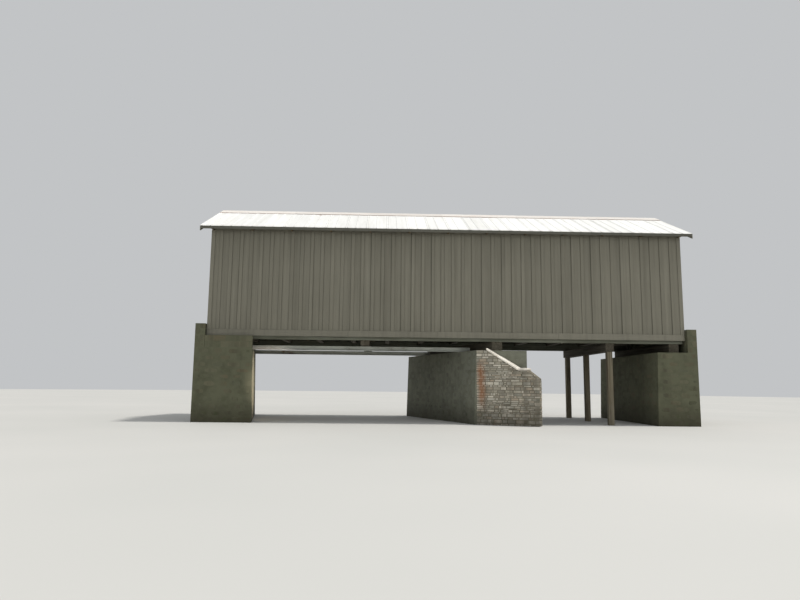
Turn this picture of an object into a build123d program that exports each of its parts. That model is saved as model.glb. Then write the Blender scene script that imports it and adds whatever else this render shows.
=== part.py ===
"""Covered timber bridge on stone abutments, in millimetres.

+X runs along the bridge, +Y across it towards the far side and +Z up. The origin is at the
middle of the plan, at the level of the creek bed where the masonry starts.
"""
from build123d import *
from math import atan2, cos, degrees, hypot, radians, sin
import os

os.makedirs("parts", exist_ok=True)

# Housing
HOUSING_LENGTH = 14200
BRIDGE_WIDTH = 4600
RAKE_OVERHANG = 300
EAVE_OVERHANG = 250
EAVE_HEIGHT = 5750
RIDGE_HEIGHT = 6920

# Levels of the masonry and the floor
SEAT_HEIGHT = 2150
SILL_DEPTH = 270
SKIRT_DROP = 90
CHORD_DEPTH = 250
GAIN_DEPTH = 80
FLOOR_BEAM_DEPTH = 180
DECK_THICKNESS = 70

# Abutments and their skewed creek faces
LEFT_DEPTH = 1680
LEFT_SKEW = 880
CREEK_SPAN = 6530
RIGHT_DEPTH = 1500
RIGHT_SKEW = 1780
END_DEPTH = 1200
BATTER = 60
MASONRY_OVERHANG = 150
BACKWALL_GAP = 10
CHEEK_THICKNESS = 200
CHEEK_CLEARANCE = 10

# Wing walls of the right abutment
WING_THICKNESS = 450
WING_FLARE = 25
WING_LEVEL = 305
WING_SLOPE_END = 1230
WING_LENGTH = 1820
WING_LOW_TOP = 1560
WING_END_TOP = 1330
COPING_THICKNESS = 70
COPING_LIP = 30

# Timber sills, bent and the steel girders under the floor
SILL_WIDTH = 300
LEFT_SILL_SETBACK = 195
RIGHT_SILL_SETBACK = 750
END_SILL_SETBACK = 450
BENT_FROM_END = 2240
BENT_POST = 160
BENT_CAP_DEPTH = 250
BENT_CAP_WIDTH = 250
GIRDER_DEPTH = 130
GIRDER_FLANGE = 120
GIRDER_FLANGE_THICKNESS = 12
GIRDER_WEB = 10
GIRDER_OFFSET = 1400
GIRDER_BEARING = 350
NEEDLE_WIDTH = 260

# Side trusses
TRUSS_WIDTH = 200
END_POST = 200
QUEEN_POST = 200
QUEEN_SPACING = 4700
QUEEN_HEAD = 320
QUEEN_HEAD_HEIGHT = 620
QUEEN_FOOT_HEIGHT = 300
BRACE_DEPTH = 200
BRACE_FOOT = 90
BRACE_HEAD_DROP = 280
STRAIN_DEPTH = 200
STRAIN_NOTCH = 30
JACK_POST = 120
PLATE_DEPTH = 180
TIE_WIDTH = 150
KNEE_REACH = 560
KNEE_SIZE = 100

# Floor
FLOOR_BEAM_WIDTH = 150
FLOOR_BEAM_COUNT = 12
FLOOR_BEAM_SPACING = 1180
DECK_CLEARANCE = 40
GUARD_SIZE = 120
GUARD_SETBACK = 10

# Roof
SHEET_THICKNESS = 15
PURLIN_DEPTH = 40
PURLIN_WIDTH = 100
PURLIN_COUNT = 5
PURLIN_RIDGE_SETBACK = 110
RAFTER_DEPTH = 120
RAFTER_WIDTH = 50
RAFTER_COUNT = 13
BIRDSMOUTH = 48
RAFTER_TAIL = 200
RIDGE_CAP_REACH = 420
RIDGE_CAP_THICKNESS = 6
FASCIA_DEPTH = 85
FASCIA_THICKNESS = 25
RAKE_DEPTH = 150
RAKE_THICKNESS = 25
RIDGE_JOINT = 2
FIT = 0.3
NOTCH_CLEARANCE = 3

# Boarding
BOARD_THICKNESS = 25
GIRT_THICKNESS = 55
GIRT_DEPTH = 100
SKIRT_DEPTH = 180
SKIRT_THICKNESS = 22
CORNER_WIDTH = 110
PORTAL_WIDTH = 3600
PORTAL_HEIGHT = 2500

# Lines along the bridge
housing_end = HOUSING_LENGTH / 2
frame_end = housing_end - BOARD_THICKNESS
roof_end = housing_end + RAKE_OVERHANG
end_post_x = frame_end - END_POST / 2
queen_x = QUEEN_SPACING / 2
jack_x = (queen_x + end_post_x) / 2
left_creek_x = -roof_end + LEFT_DEPTH
right_creek_x = left_creek_x + CREEK_SPAN
bent_x = housing_end - BENT_FROM_END
needle_x = (left_creek_x + right_creek_x) / 2
post_lines = (-end_post_x, -jack_x, -queen_x, 0, queen_x, jack_x, end_post_x)

# Lines across the bridge
siding_outer = BRIDGE_WIDTH / 2
siding_inner = siding_outer - BOARD_THICKNESS
truss_outer = siding_inner - GIRT_THICKNESS
truss_inner = truss_outer - TRUSS_WIDTH
masonry_side = siding_outer + MASONRY_OVERHANG
eave_y = siding_outer + EAVE_OVERHANG
tail_y = siding_outer + RAFTER_TAIL

# Levels
chord_bottom = SEAT_HEIGHT + SILL_DEPTH
chord_top = chord_bottom + CHORD_DEPTH
floor_beam_bottom = chord_top - GAIN_DEPTH
floor_beam_top = floor_beam_bottom + FLOOR_BEAM_DEPTH
deck_top = floor_beam_top + DECK_THICKNESS
siding_bottom = chord_bottom + SKIRT_DROP
girder_top = SEAT_HEIGHT + GIRDER_DEPTH
portal_top = deck_top + PORTAL_HEIGHT

# Roof slope, with each layer's thickness measured upright
roof_slope = (RIDGE_HEIGHT - EAVE_HEIGHT) / eave_y
roof_pitch = degrees(atan2(RIDGE_HEIGHT - EAVE_HEIGHT, eave_y))
upright = 1 / cos(radians(roof_pitch))


def sheet_bottom(y):
    return RIDGE_HEIGHT - roof_slope * y - SHEET_THICKNESS * upright


def rafter_top(y):
    return sheet_bottom(y) - PURLIN_DEPTH * upright


def rafter_bottom(y):
    return rafter_top(y) - RAFTER_DEPTH * upright


fascia_y = tail_y + FASCIA_THICKNESS
fascia_top = sheet_bottom(fascia_y) - FIT
fascia_bottom = fascia_top - FASCIA_DEPTH
rafter_spacing = (2 * frame_end - RAFTER_WIDTH) / (RAFTER_COUNT - 1)
rafter_starts = [-frame_end + index * rafter_spacing for index in range(RAFTER_COUNT)]
plate_top = rafter_bottom(truss_outer) + BIRDSMOUTH
plate_bottom = plate_top - PLATE_DEPTH
siding_top = rafter_top(siding_outer) - FIT
notch_bottom = rafter_bottom(siding_outer) - FIT

# Main brace of the truss, from the corner of the end post to the head of the queen post
brace_foot = (end_post_x - END_POST / 2 - BRACE_FOOT, chord_top + BRACE_FOOT)
brace_head = (queen_x + QUEEN_POST / 2, plate_bottom - BRACE_HEAD_DROP)
brace_run = brace_foot[0] - brace_head[0]
brace_rise = brace_head[1] - brace_foot[1]
brace_angle = degrees(atan2(brace_rise, brace_run))
brace_length = hypot(brace_run, brace_rise)
strain_length = 2 * (queen_x - QUEEN_HEAD / 2 + STRAIN_NOTCH)

SIDES = {"near": -1, "far": 1}


def upright_plane(side, inner, outer):
    """Plane along the bridge from which a layer of a side wall is drawn towards -Y."""
    return Plane.XZ.offset(-max(side * inner, side * outer))


def left_face(y):
    """Creek face of the left abutment at its top."""
    return left_creek_x - LEFT_SKEW * (y + masonry_side) / (2 * masonry_side)


def right_face(y):
    """Creek face of the right abutment at its top."""
    return right_creek_x - RIGHT_SKEW * (y + masonry_side) / (2 * masonry_side)


def masonry(near_left, far_left, near_right, far_right, left_batter, right_batter):
    """Battered block of masonry, given its corners at the seat."""
    y = masonry_side
    with BuildPart() as block:
        with BuildSketch(Plane.XY):
            Polygon(
                (near_left - left_batter, -y),
                (near_right + right_batter, -y),
                (far_right + right_batter, y),
                (far_left - left_batter, y),
                align=None,
            )
        with BuildSketch(Plane.XY.offset(SEAT_HEIGHT)):
            Polygon(
                (near_left, -y),
                (near_right, -y),
                (far_right, y),
                (far_left, y),
                align=None,
            )
        loft()
    return block


# Stone abutments and end pier
left_abutment = masonry(-roof_end, -roof_end, left_face(-masonry_side), left_face(masonry_side), 0, BATTER)
left_abutment.part.label = "left_abutment"
export_step(left_abutment.part, "parts/left_abutment.step")

near_corner_x = right_face(-masonry_side)
far_corner_x = right_face(masonry_side)
right_abutment = masonry(
    near_corner_x, far_corner_x, near_corner_x + RIGHT_DEPTH, far_corner_x + RIGHT_DEPTH, BATTER, 0
)
right_abutment.part.label = "right_abutment"
export_step(right_abutment.part, "parts/right_abutment.step")

end_face_x = roof_end - END_DEPTH
end_pier = masonry(end_face_x, end_face_x, roof_end, roof_end, BATTER, 0)
end_pier.part.label = "end_pier"
export_step(end_pier.part, "parts/end_pier.step")

# Backwalls that meet the approach road at deck level
with BuildPart() as backwalls:
    with BuildSketch(Plane.XY.offset(SEAT_HEIGHT)):
        backwall_depth = roof_end - housing_end - BACKWALL_GAP
        backwall_x = roof_end - backwall_depth / 2
        with Locations((-backwall_x, 0), (backwall_x, 0)):
            Rectangle(backwall_depth, 2 * masonry_side)
    extrude(amount=deck_top - SEAT_HEIGHT)
backwalls.part.label = "backwalls"
export_step(backwalls.part, "parts/backwalls.step")

# Cheek walls that close the ends of the left seat, from the backwall to the creek face
cheek_start = -housing_end - BACKWALL_GAP
cheek_inner = masonry_side - CHEEK_THICKNESS
cheek_top = siding_bottom - CHEEK_CLEARANCE
with BuildPart() as seat_cheeks:
    with BuildSketch(Plane.XY.offset(SEAT_HEIGHT)):
        for side in SIDES.values():
            Polygon(
                (cheek_start, side * masonry_side),
                (left_face(side * masonry_side), side * masonry_side),
                (left_face(side * cheek_inner), side * cheek_inner),
                (cheek_start, side * cheek_inner),
                align=None,
            )
    extrude(amount=cheek_top - SEAT_HEIGHT)
seat_cheeks.part.label = "seat_cheeks"
export_step(seat_cheeks.part, "parts/seat_cheeks.step")


def wing_plane(side):
    """Upright plane of a wing wall's outer face, from the creek corner of the right abutment."""
    along = (cos(radians(WING_FLARE)), side * sin(radians(WING_FLARE)), 0)
    corner = (right_face(side * masonry_side), side * masonry_side, 0)
    return Plane(origin=corner, x_dir=along, z_dir=(along[1], -along[0], 0))


wing_top = [
    (WING_LEVEL, SEAT_HEIGHT),
    (WING_SLOPE_END, WING_LOW_TOP),
    (WING_LENGTH - WING_LEVEL, WING_LOW_TOP),
]


def keep_outside_abutment(side):
    """Cuts a wing wall's piece off at the side of the abutment."""
    split(bisect_by=Plane.XZ.offset(-side * masonry_side), keep=Keep.TOP if side < 0 else Keep.BOTTOM)


# Wing walls, cut back to the side of the abutment
for name, side in SIDES.items():
    with BuildPart() as wing_wall:
        with BuildSketch(wing_plane(side)):
            Polygon(
                (0, 0),
                (0, SEAT_HEIGHT),
                *wing_top,
                (WING_LENGTH, WING_END_TOP),
                (WING_LENGTH, 0),
                align=None,
            )
        extrude(amount=side * WING_THICKNESS)
        keep_outside_abutment(side)
    wing_wall.part.label = f"{name}_wing_wall"
    export_step(wing_wall.part, f"parts/{name}_wing_wall.step")

# Sloping coping stones on the wing walls
with BuildPart() as wing_copings:
    for side in SIDES.values():
        with BuildPart(mode=Mode.PRIVATE) as coping:
            with BuildSketch(wing_plane(side).offset(-side * COPING_LIP)):
                Polygon(
                    *wing_top,
                    *[(x, z + COPING_THICKNESS) for x, z in reversed(wing_top)],
                    align=None,
                )
            extrude(amount=side * (WING_THICKNESS + 2 * COPING_LIP))
            keep_outside_abutment(side)
        add(coping.part)
wing_copings.part.label = "wing_copings"
export_step(wing_copings.part, "parts/wing_copings.step")

# Timber sills across the seats, the right one following the skewed abutment
left_sill_x = left_face(masonry_side) - LEFT_SILL_SETBACK - SILL_WIDTH / 2
end_sill_x = end_face_x + END_SILL_SETBACK + SILL_WIDTH / 2
near_sill_x = right_face(-truss_outer) + RIGHT_SILL_SETBACK
far_sill_x = right_face(truss_outer) + RIGHT_SILL_SETBACK
with BuildPart() as sills:
    with BuildSketch(Plane.XY.offset(SEAT_HEIGHT)):
        with Locations((left_sill_x, 0), (end_sill_x, 0)):
            Rectangle(SILL_WIDTH, 2 * truss_outer)
        Polygon(
            (near_sill_x - SILL_WIDTH / 2, -truss_outer),
            (near_sill_x + SILL_WIDTH / 2, -truss_outer),
            (far_sill_x + SILL_WIDTH / 2, truss_outer),
            (far_sill_x - SILL_WIDTH / 2, truss_outer),
            align=None,
        )
    extrude(amount=SILL_DEPTH)
sills.part.label = "sills"
export_step(sills.part, "parts/sills.step")

# Post bent under the land span
truss_centre = truss_outer - TRUSS_WIDTH / 2
bent_cap_bottom = chord_bottom - BENT_CAP_DEPTH
with BuildPart() as bent_posts:
    with BuildSketch(Plane.XY):
        with Locations((bent_x, -truss_centre), (bent_x, 0), (bent_x, truss_centre)):
            Rectangle(BENT_POST, BENT_POST)
    extrude(amount=bent_cap_bottom)
bent_posts.part.label = "bent_posts"
export_step(bent_posts.part, "parts/bent_posts.step")

with BuildPart() as bent_cap:
    with BuildSketch(Plane.XY.offset(bent_cap_bottom)):
        with Locations((bent_x, 0)):
            Rectangle(BENT_CAP_WIDTH, 2 * truss_outer)
    extrude(amount=BENT_CAP_DEPTH)
bent_cap.part.label = "bent_cap"
export_step(bent_cap.part, "parts/bent_cap.step")

# Steel girders across the creek, from seat to seat
for name, side in SIDES.items():
    girder_y = side * GIRDER_OFFSET
    girder_start = left_face(girder_y) - GIRDER_BEARING
    girder_end = right_face(girder_y) + GIRDER_BEARING
    with BuildPart() as girder:
        with BuildSketch(Plane.YZ.offset(girder_start)):
            with Locations((girder_y, SEAT_HEIGHT + GIRDER_DEPTH / 2)):
                Rectangle(GIRDER_FLANGE, GIRDER_DEPTH)
            web_height = GIRDER_DEPTH - 2 * GIRDER_FLANGE_THICKNESS
            recess = (GIRDER_FLANGE - GIRDER_WEB) / 2
            recess_y = (GIRDER_WEB + recess) / 2
            with Locations(
                (girder_y - recess_y, SEAT_HEIGHT + GIRDER_DEPTH / 2),
                (girder_y + recess_y, SEAT_HEIGHT + GIRDER_DEPTH / 2),
            ):
                Rectangle(recess, web_height, mode=Mode.SUBTRACT)
        extrude(amount=girder_end - girder_start)
    girder.part.label = f"{name}_girder"
    export_step(girder.part, f"parts/{name}_girder.step")

# Needle beam that packs the chords off the girders in the middle of the creek span
with BuildPart() as needle_beam:
    with BuildSketch(Plane.XY.offset(girder_top)):
        with Locations((needle_x, 0)):
            Rectangle(NEEDLE_WIDTH, 2 * truss_outer)
    extrude(amount=chord_bottom - girder_top)
needle_beam.part.label = "needle_beam"
export_step(needle_beam.part, "parts/needle_beam.step")

# Bottom chords, with gains in their tops for the floor beams
floor_beam_lines = [
    (index - (FLOOR_BEAM_COUNT - 1) / 2) * FLOOR_BEAM_SPACING for index in range(FLOOR_BEAM_COUNT)
]
for name, side in SIDES.items():
    with BuildPart() as bottom_chord:
        with BuildSketch(upright_plane(side, truss_inner, truss_outer)):
            with Locations((0, chord_bottom + CHORD_DEPTH / 2)):
                Rectangle(2 * frame_end, CHORD_DEPTH)
            with Locations(*[(x, chord_top - GAIN_DEPTH / 2) for x in floor_beam_lines]):
                Rectangle(FLOOR_BEAM_WIDTH, GAIN_DEPTH, mode=Mode.SUBTRACT)
        extrude(amount=TRUSS_WIDTH)
    bottom_chord.part.label = f"{name}_bottom_chord"
    export_step(bottom_chord.part, f"parts/{name}_bottom_chord.step")

# Floor beams let into the chords, the deck on them and a wheel guard along each edge
with BuildPart() as floor_beams:
    with BuildSketch(Plane.XY.offset(floor_beam_bottom)):
        with Locations(*[(x, 0) for x in floor_beam_lines]):
            Rectangle(FLOOR_BEAM_WIDTH, 2 * truss_outer)
    extrude(amount=FLOOR_BEAM_DEPTH)
floor_beams.part.label = "floor_beams"
export_step(floor_beams.part, "parts/floor_beams.step")

with BuildPart() as deck:
    with BuildSketch(Plane.XY.offset(floor_beam_top)):
        Rectangle(2 * frame_end, 2 * (truss_inner - DECK_CLEARANCE))
    extrude(amount=DECK_THICKNESS)
deck.part.label = "deck"
export_step(deck.part, "parts/deck.step")

with BuildPart() as wheel_guards:
    with BuildSketch(Plane.XY.offset(deck_top)):
        guard_y = truss_inner - DECK_CLEARANCE - GUARD_SETBACK - GUARD_SIZE / 2
        with Locations((0, -guard_y), (0, guard_y)):
            Rectangle(2 * frame_end, GUARD_SIZE)
    extrude(amount=GUARD_SIZE)
wheel_guards.part.label = "wheel_guards"
export_step(wheel_guards.part, "parts/wheel_guards.step")

# Truss members are drawn on the side of the truss, and the braces and the straining beam
# are drawn again on the posts, to cut the seats that they bear on
brace_middle_x = (brace_foot[0] + brace_head[0]) / 2
brace_middle_z = (brace_foot[1] + brace_head[1]) / 2
strain_z = brace_head[1]
panel_length = end_post_x - END_POST / 2
panel_height = plate_bottom - chord_top
panel_z = chord_top + panel_height / 2


def draw_braces(mode=Mode.ADD):
    """Main braces of both end panels, square at the head and running on past the foot."""
    for end in (-1, 1):
        foot_run = 2 * BRACE_DEPTH
        shift_x = end * foot_run / 2 * cos(radians(brace_angle))
        shift_z = -foot_run / 2 * sin(radians(brace_angle))
        with Locations(
            Location((end * brace_middle_x + shift_x, brace_middle_z + shift_z), -end * brace_angle)
        ):
            Rectangle(brace_length + foot_run, BRACE_DEPTH, mode=mode)


def draw_straining_beam(mode=Mode.ADD):
    with Locations((0, strain_z)):
        Rectangle(strain_length, STRAIN_DEPTH, mode=mode)


def draw_columns(lines, width):
    with Locations(*[(x, panel_z) for x in lines]):
        Rectangle(width, panel_height)


def truss_node(name, draw):
    """One kind of truss member in both side walls."""
    with BuildPart() as members:
        for side in SIDES.values():
            with BuildSketch(upright_plane(side, truss_inner, truss_outer)):
                draw()
            extrude(amount=TRUSS_WIDTH)
    members.part.label = name
    export_step(members.part, f"parts/{name}.step")


def end_posts():
    draw_columns((-end_post_x, end_post_x), END_POST)


def queen_posts():
    draw_columns((-queen_x, queen_x), QUEEN_POST)
    with Locations(*[(x, plate_bottom - QUEEN_HEAD_HEIGHT / 2) for x in (-queen_x, queen_x)]):
        Rectangle(QUEEN_HEAD, QUEEN_HEAD_HEIGHT)
    with Locations(*[(x, chord_top + QUEEN_FOOT_HEIGHT / 2) for x in (-queen_x, queen_x)]):
        Rectangle(QUEEN_HEAD, QUEEN_FOOT_HEIGHT)
    draw_braces(mode=Mode.SUBTRACT)
    draw_straining_beam(mode=Mode.SUBTRACT)


def main_braces():
    draw_braces()
    with Locations((0, panel_z)):
        Rectangle(2 * panel_length, panel_height, mode=Mode.INTERSECT)


def jack_posts():
    draw_columns((-jack_x, 0, jack_x), JACK_POST)
    draw_braces(mode=Mode.SUBTRACT)
    draw_straining_beam(mode=Mode.SUBTRACT)


truss_node("end_posts", end_posts)
truss_node("queen_posts", queen_posts)
truss_node("main_braces", main_braces)
truss_node("straining_beams", draw_straining_beam)
truss_node("jack_posts", jack_posts)

# Top plates, with tie beams between them and knee braces under the ties
with BuildPart() as top_plates:
    for side in SIDES.values():
        with BuildSketch(upright_plane(side, truss_inner, truss_outer)):
            with Locations((0, plate_bottom + PLATE_DEPTH / 2)):
                Rectangle(2 * frame_end, PLATE_DEPTH)
        extrude(amount=TRUSS_WIDTH)
top_plates.part.label = "top_plates"
export_step(top_plates.part, "parts/top_plates.step")

tie_lines = (-frame_end + TIE_WIDTH / 2, *post_lines[1:-1], frame_end - TIE_WIDTH / 2)
with BuildPart() as tie_beams:
    with BuildSketch(Plane.XY.offset(plate_bottom)):
        with Locations(*[(x, 0) for x in tie_lines]):
            Rectangle(TIE_WIDTH, 2 * truss_inner)
    extrude(amount=PLATE_DEPTH)
tie_beams.part.label = "tie_beams"
export_step(tie_beams.part, "parts/tie_beams.step")

with BuildPart() as knee_braces:
    for side in SIDES.values():
        for x in tie_lines:
            with BuildSketch(Plane.YZ.offset(x - KNEE_SIZE / 2)):
                corner = (side * truss_inner, plate_bottom)
                middle = (corner[0] - side * KNEE_REACH / 2, corner[1] - KNEE_REACH / 2)
                with Locations(Location(middle, side * -45)):
                    Rectangle(2 * KNEE_REACH, KNEE_SIZE)
                with Locations((corner[0] - side * KNEE_REACH, corner[1] - KNEE_REACH)):
                    Rectangle(2 * KNEE_REACH, 2 * KNEE_REACH, mode=Mode.INTERSECT)
            extrude(amount=KNEE_SIZE)
knee_braces.part.label = "knee_braces"
export_step(knee_braces.part, "parts/knee_braces.step")

# Rafters with a birdsmouth over the plate and a level cut behind the fascia
tail_drop = fascia_bottom - rafter_bottom(tail_y)
for name, side in SIDES.items():
    with BuildPart() as rafters:
        for start in rafter_starts:
            with BuildSketch(Plane.YZ.offset(start)):
                Polygon(
                    (0, rafter_bottom(0)),
                    (0, rafter_top(0)),
                    (side * tail_y, rafter_top(tail_y)),
                    (side * tail_y, rafter_bottom(tail_y)),
                    align=None,
                )
                with Locations((side * truss_centre, plate_top - PLATE_DEPTH / 2)):
                    Rectangle(TRUSS_WIDTH, PLATE_DEPTH, mode=Mode.SUBTRACT)
                with Locations((side * tail_y, fascia_bottom - tail_drop / 2)):
                    Rectangle(2 * EAVE_OVERHANG, tail_drop, mode=Mode.SUBTRACT)
            extrude(amount=RAFTER_WIDTH)
    rafters.part.label = f"{name}_rafters"
    export_step(rafters.part, f"parts/{name}_rafters.step")

# Purlins along both slopes, between the rake boards
slope_length = hypot(eave_y, RIDGE_HEIGHT - EAVE_HEIGHT)
eave_setback = (eave_y - tail_y) * upright + PURLIN_WIDTH / 2
purlin_spacing = (slope_length - PURLIN_RIDGE_SETBACK - eave_setback) / (PURLIN_COUNT - 1)
purlin_length = 2 * (roof_end - RAKE_THICKNESS)
with BuildPart() as purlins:
    for side in SIDES.values():
        slope_plane = Plane(
            origin=(0, 0, RIDGE_HEIGHT),
            x_dir=(1, 0, 0),
            z_dir=(0, side * sin(radians(roof_pitch)), cos(radians(roof_pitch))),
        )
        with BuildSketch(slope_plane.offset(-SHEET_THICKNESS)):
            for index in range(PURLIN_COUNT):
                down = PURLIN_RIDGE_SETBACK + index * purlin_spacing
                with Locations((0, side * down)):
                    Rectangle(purlin_length, PURLIN_WIDTH)
        extrude(amount=-PURLIN_DEPTH)
purlins.part.label = "purlins"
export_step(purlins.part, "parts/purlins.step")

# Metal roof, its two slopes meeting under the ridge cap
for name, side in SIDES.items():
    with BuildPart() as roof_sheet:
        with BuildSketch(Plane.YZ.offset(-roof_end)):
            Polygon(
                (0, RIDGE_HEIGHT),
                (side * eave_y, EAVE_HEIGHT),
                (side * eave_y, sheet_bottom(eave_y)),
                (0, sheet_bottom(0)),
                align=None,
            )
        extrude(amount=2 * roof_end)
    roof_sheet.part.label = f"{name}_roof_sheet"
    export_step(roof_sheet.part, f"parts/{name}_roof_sheet.step")

with BuildPart() as ridge_cap:
    with BuildSketch(Plane.YZ.offset(-roof_end)):
        cap_edge = RIDGE_HEIGHT - roof_slope * RIDGE_CAP_REACH
        cap_rise = RIDGE_CAP_THICKNESS * upright
        Polygon(
            (-RIDGE_CAP_REACH, cap_edge),
            (0, RIDGE_HEIGHT),
            (RIDGE_CAP_REACH, cap_edge),
            (RIDGE_CAP_REACH, cap_edge + cap_rise),
            (0, RIDGE_HEIGHT + cap_rise),
            (-RIDGE_CAP_REACH, cap_edge + cap_rise),
            align=None,
        )
    extrude(amount=2 * roof_end)
ridge_cap.part.label = "ridge_cap"
export_step(ridge_cap.part, "parts/ridge_cap.step")

# Eave fascias on the rafter tails
with BuildPart() as fascias:
    for side in SIDES.values():
        with BuildSketch(upright_plane(side, tail_y, fascia_y)):
            with Locations((0, fascia_top - FASCIA_DEPTH / 2)):
                Rectangle(purlin_length, FASCIA_DEPTH)
        extrude(amount=FASCIA_THICKNESS)
fascias.part.label = "fascias"
export_step(fascias.part, "parts/fascias.step")

# Rake boards against the purlin ends, under the edge of the roof
with BuildPart() as rake_boards:
    for start in (-roof_end, roof_end - RAKE_THICKNESS):
        for side in SIDES.values():
            with BuildSketch(Plane.YZ.offset(start)):
                Polygon(
                    (side * RIDGE_JOINT / 2, sheet_bottom(RIDGE_JOINT / 2)),
                    (side * fascia_y, sheet_bottom(fascia_y)),
                    (side * fascia_y, sheet_bottom(fascia_y) - RAKE_DEPTH),
                    (side * RIDGE_JOINT / 2, sheet_bottom(RIDGE_JOINT / 2) - RAKE_DEPTH),
                    align=None,
                )
            extrude(amount=RAKE_THICKNESS)
rake_boards.part.label = "rake_boards"
export_step(rake_boards.part, "parts/rake_boards.step")

# Side walls: boarding notched round the rafters, girts, skirt boards and corner boards
siding_height = siding_top - siding_bottom
for name, side in SIDES.items():
    with BuildPart() as siding:
        with BuildSketch(upright_plane(side, siding_inner, siding_outer)):
            with Locations((0, siding_bottom + siding_height / 2)):
                Rectangle(HOUSING_LENGTH, siding_height)
            notch_height = siding_top - notch_bottom
            notch_z = notch_bottom + notch_height / 2
            with Locations(*[(start + RAFTER_WIDTH / 2, notch_z) for start in rafter_starts]):
                Rectangle(RAFTER_WIDTH + 2 * NOTCH_CLEARANCE, notch_height, mode=Mode.SUBTRACT)
        extrude(amount=BOARD_THICKNESS)
    siding.part.label = f"{name}_siding"
    export_step(siding.part, f"parts/{name}_siding.step")

low_girt = chord_top - GIRT_DEPTH / 2
high_girt = plate_bottom
with BuildPart() as girts:
    for side in SIDES.values():
        with BuildSketch(upright_plane(side, truss_outer, siding_inner)):
            with Locations(*[(0, z) for z in (low_girt, (low_girt + high_girt) / 2, high_girt)]):
                Rectangle(2 * frame_end, GIRT_DEPTH)
        extrude(amount=GIRT_THICKNESS)
girts.part.label = "girts"
export_step(girts.part, "parts/girts.step")

skirt_outer = siding_outer + SKIRT_THICKNESS
with BuildPart() as skirt_boards:
    for side in SIDES.values():
        with BuildSketch(upright_plane(side, siding_outer, skirt_outer)):
            with Locations((0, siding_bottom + SKIRT_DEPTH / 2)):
                Rectangle(HOUSING_LENGTH, SKIRT_DEPTH)
        extrude(amount=SKIRT_THICKNESS)
skirt_boards.part.label = "skirt_boards"
export_step(skirt_boards.part, "parts/skirt_boards.step")

corner_bottom = siding_bottom + SKIRT_DEPTH
corner_height = rafter_bottom(skirt_outer) - FIT - corner_bottom
corner_x = housing_end - CORNER_WIDTH / 2
with BuildPart() as corner_boards:
    for side in SIDES.values():
        with BuildSketch(upright_plane(side, siding_outer, skirt_outer)):
            corner_z = corner_bottom + corner_height / 2
            with Locations((-corner_x, corner_z), (corner_x, corner_z)):
                Rectangle(CORNER_WIDTH, corner_height)
        extrude(amount=SKIRT_THICKNESS)
corner_boards.part.label = "corner_boards"
export_step(corner_boards.part, "parts/corner_boards.step")

# End walls: a jamb each side of the portal and the gable over it
portal_y = PORTAL_WIDTH / 2
jamb_width = siding_inner - portal_y
with BuildPart() as portal_jambs:
    for start in (-housing_end, frame_end):
        with BuildSketch(Plane.YZ.offset(start)):
            jamb_y = portal_y + jamb_width / 2
            jamb_z = (siding_bottom + portal_top) / 2
            with Locations((-jamb_y, jamb_z), (jamb_y, jamb_z)):
                Rectangle(jamb_width, portal_top - siding_bottom)
        extrude(amount=BOARD_THICKNESS)
portal_jambs.part.label = "portal_jambs"
export_step(portal_jambs.part, "parts/portal_jambs.step")

for name, start in (("left", -housing_end), ("right", frame_end)):
    with BuildPart() as gable:
        with BuildSketch(Plane.YZ.offset(start)):
            Polygon(
                (-siding_inner, portal_top),
                (siding_inner, portal_top),
                (siding_inner, rafter_top(siding_inner)),
                (0, rafter_top(0)),
                (-siding_inner, rafter_top(siding_inner)),
                align=None,
            )
        extrude(amount=BOARD_THICKNESS)
    gable.part.label = f"{name}_gable"
    export_step(gable.part, f"parts/{name}_gable.step")
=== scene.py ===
"""Looks of a covered timber bridge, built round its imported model. Metres, in the model's frame:
+X along the bridge, +Y across it to the far side, +Z up from the foot of the masonry."""

import random
from collections import namedtuple
from itertools import pairwise
from math import atan2, ceil, cos, radians, sin

import bmesh
import bpy
from mathutils import Matrix, Vector, noise


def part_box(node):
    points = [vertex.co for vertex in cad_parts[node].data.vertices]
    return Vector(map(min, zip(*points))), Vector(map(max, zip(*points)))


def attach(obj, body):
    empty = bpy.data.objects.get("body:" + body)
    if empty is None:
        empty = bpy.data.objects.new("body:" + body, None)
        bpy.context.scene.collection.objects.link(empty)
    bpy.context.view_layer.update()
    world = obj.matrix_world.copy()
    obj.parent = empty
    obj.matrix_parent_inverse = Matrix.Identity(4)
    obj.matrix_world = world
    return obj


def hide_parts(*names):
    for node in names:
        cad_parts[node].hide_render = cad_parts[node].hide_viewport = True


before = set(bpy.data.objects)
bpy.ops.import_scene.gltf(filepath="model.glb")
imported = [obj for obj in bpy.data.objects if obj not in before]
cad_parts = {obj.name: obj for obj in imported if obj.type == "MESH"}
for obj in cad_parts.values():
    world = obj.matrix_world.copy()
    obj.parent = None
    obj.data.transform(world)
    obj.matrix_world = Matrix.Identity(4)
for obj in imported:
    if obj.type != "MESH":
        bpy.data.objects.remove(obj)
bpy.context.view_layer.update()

SEED = 11
noise.seed_set(SEED)
SIDES = {"near": -1, "far": 1}
HAIR = 0.001
SHARP = radians(25)

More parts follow.
